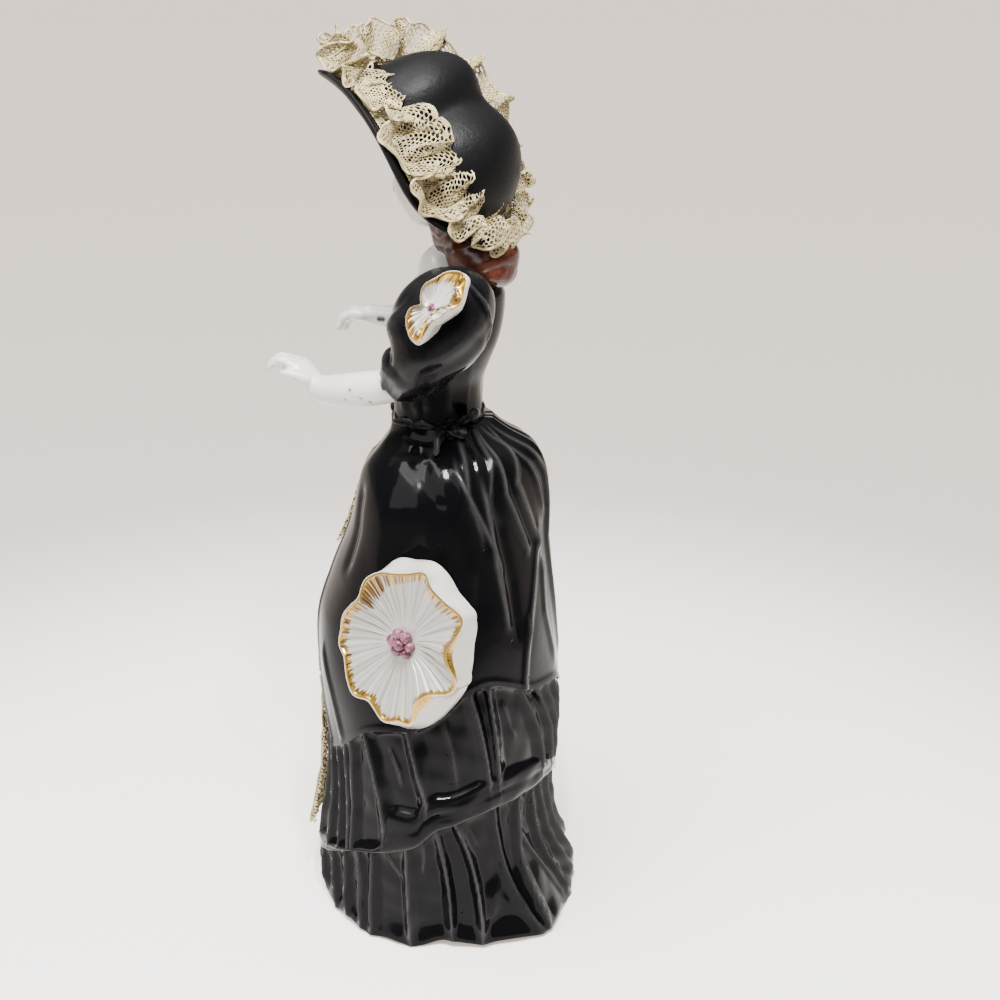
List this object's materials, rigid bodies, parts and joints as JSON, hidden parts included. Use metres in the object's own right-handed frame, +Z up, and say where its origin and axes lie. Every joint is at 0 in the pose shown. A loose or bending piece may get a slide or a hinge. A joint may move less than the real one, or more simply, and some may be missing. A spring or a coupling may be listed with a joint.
{
  "type": "dresden lace figurine",
  "caption": "Glazed porcelain lady in a long black gown with pleated flounces, a black hat edged with stiff dipped lace, and gilt-edged white flowers at hip and shoulder.",
  "frame": {"origin": "middle of the flat foot under the skirt", "axes": "+Z up, -Y the way she faces, +X her left"},
  "size_m": [0.0825, 0.0824, 0.2503],
  "materials": {
    "black_glaze": "gloss",
    "white_glaze": "gloss",
    "hair_glaze": "gloss",
    "lace_bisque": "satin",
    "flower_glaze": "gloss"
  },
  "bodies": {
    "root": {"porcelain_figure": "black_glaze", "hat": "black_glaze", "hat_lace": "lace_bisque", "hip_flower": "flower_glaze", "shoulder_flower": "flower_glaze", "front_lace_top": "lace_bisque", "front_lace_middle": "lace_bisque", "front_lace_bottom": "lace_bisque"}
  },
  "joints": []
}
